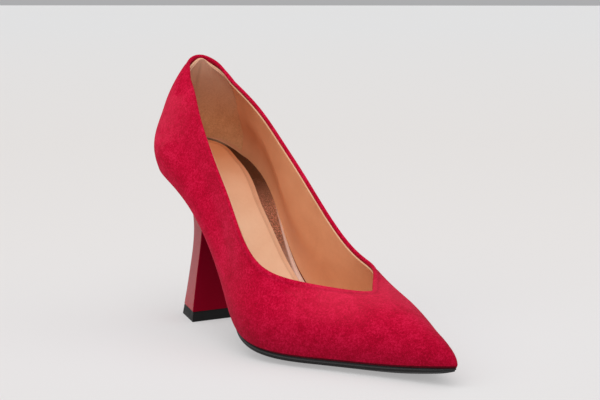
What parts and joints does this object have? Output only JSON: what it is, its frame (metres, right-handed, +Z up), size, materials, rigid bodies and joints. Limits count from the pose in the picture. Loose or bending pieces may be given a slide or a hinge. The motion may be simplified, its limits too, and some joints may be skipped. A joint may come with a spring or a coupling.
{
  "type": "high heel pump",
  "caption": "Pointed-toe pump for the right foot in red suede with a V throat, tan lining, thin black sole and a flared block heel in glossy red with a black tip.",
  "frame": {"origin": "on the floor, under the middle of the shoe's bounding box", "axes": "+Z up, -Y towards the toe, -X towards the outer side of the foot (right shoe)"},
  "size_m": [0.0822, 0.2445, 0.151],
  "materials": {
    "red_suede": "napped suede",
    "tan_leather": "smooth, slightly satin",
    "beige_suede": "napped suede",
    "counter_board": "matt",
    "interlining_cloth": "woven",
    "insole_fibre": "fibreboard",
    "bronze_leather": "metallic foil",
    "foam": "open foam",
    "cork": "cork and resin",
    "black_sole": "satin black",
    "steel": "plain",
    "heel_plastic": "moulded",
    "red_lacquer": "high gloss",
    "top_piece_rubber": "matt black"
  },
  "bodies": {
    "root": {"suede_upper": "red_suede", "leather_lining": "tan_leather", "heel_grip": "beige_suede", "heel_counter": "counter_board", "toe_puff": "counter_board", "interlining_lateral": "interlining_cloth", "interlining_medial": "interlining_cloth", "insole_board": "insole_fibre", "insole_cover": "bronze_leather", "sock_foam": "foam", "sock_lining": "tan_leather", "bottom_filler": "cork", "outsole": "black_sole", "shank": "steel", "shank_rivet_1": "steel", "shank_rivet_2": "steel", "heel_core": "heel_plastic", "heel_wrap": "red_lacquer", "breast_cover": "red_lacquer", "top_piece": "top_piece_rubber", "top_piece_pin_1": "steel", "top_piece_pin_2": "steel", "heel_screw": "steel", "heel_nail_1": "steel", "heel_nail_2": "steel", "heel_nail_3": "steel", "heel_nail_4": "steel"}
  },
  "joints": []
}
